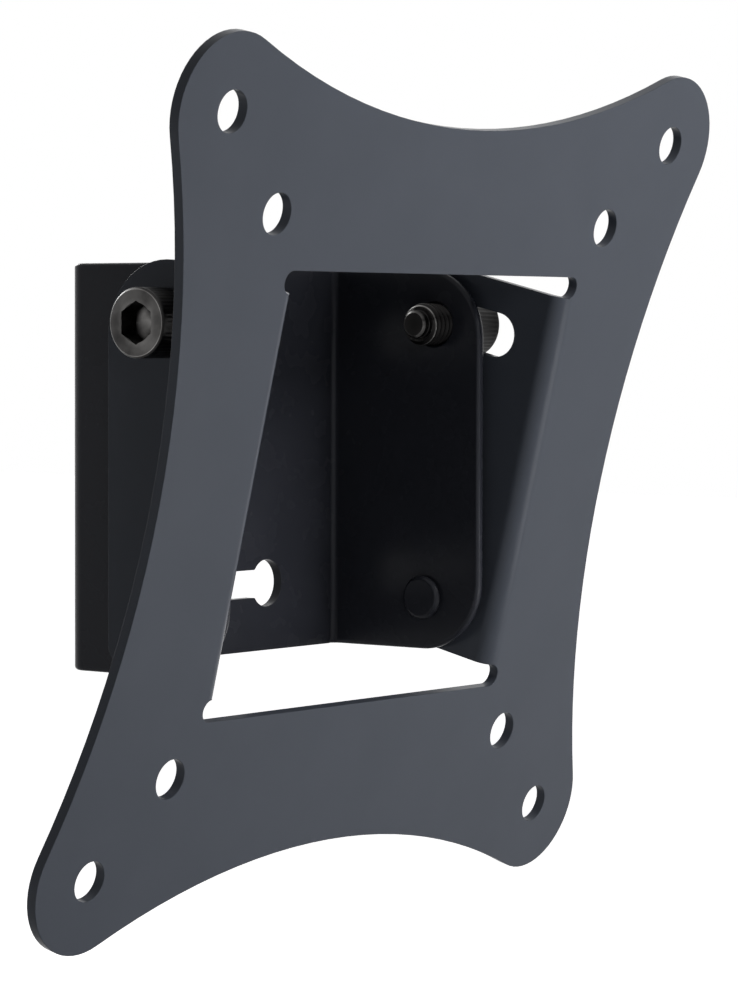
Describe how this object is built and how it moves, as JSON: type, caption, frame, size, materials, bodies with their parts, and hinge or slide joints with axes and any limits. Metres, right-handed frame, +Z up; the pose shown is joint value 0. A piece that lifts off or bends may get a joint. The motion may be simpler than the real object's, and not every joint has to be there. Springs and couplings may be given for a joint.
{
  "type": "tilting tv wall mount",
  "caption": "Tilting wall mount for a small flat screen: a folded wall bracket carries a screen plate that tips forward and locks with clamp bolts.",
  "frame": {"origin": "middle of the wall plate's back face, where the mount meets the wall", "axes": "+Y into the wall, +Z up, +X to the right as seen from the screen side"},
  "size_m": [0.12, 0.048, 0.117],
  "materials": {
    "screen_plate_coat": "satin blue-grey powder coat",
    "wall_bracket_coat": "satin black powder coat",
    "black_steel": "black oxide, light oil",
    "rivet_steel": "painted over with the bracket",
    "washer_nylon": "black nylon"
  },
  "bodies": {
    "wall_side": {"wall_bracket": "wall_bracket_coat", "left_lock_bolt": "black_steel", "right_lock_bolt": "black_steel", "left_pivot_rivet": "rivet_steel", "right_pivot_rivet": "rivet_steel", "left_pivot_washer": "washer_nylon", "right_pivot_washer": "washer_nylon"},
    "screen_side": {"tilt_plate": "screen_plate_coat"}
  },
  "joints": [
    {"name": "tilt", "type": "hinge", "parent": "wall_side", "child": "screen_side", "pos_m": [0, -0.018, -0.02], "axis": [1, 0, 0], "range_deg": [-13.5, 0]}
  ]
}
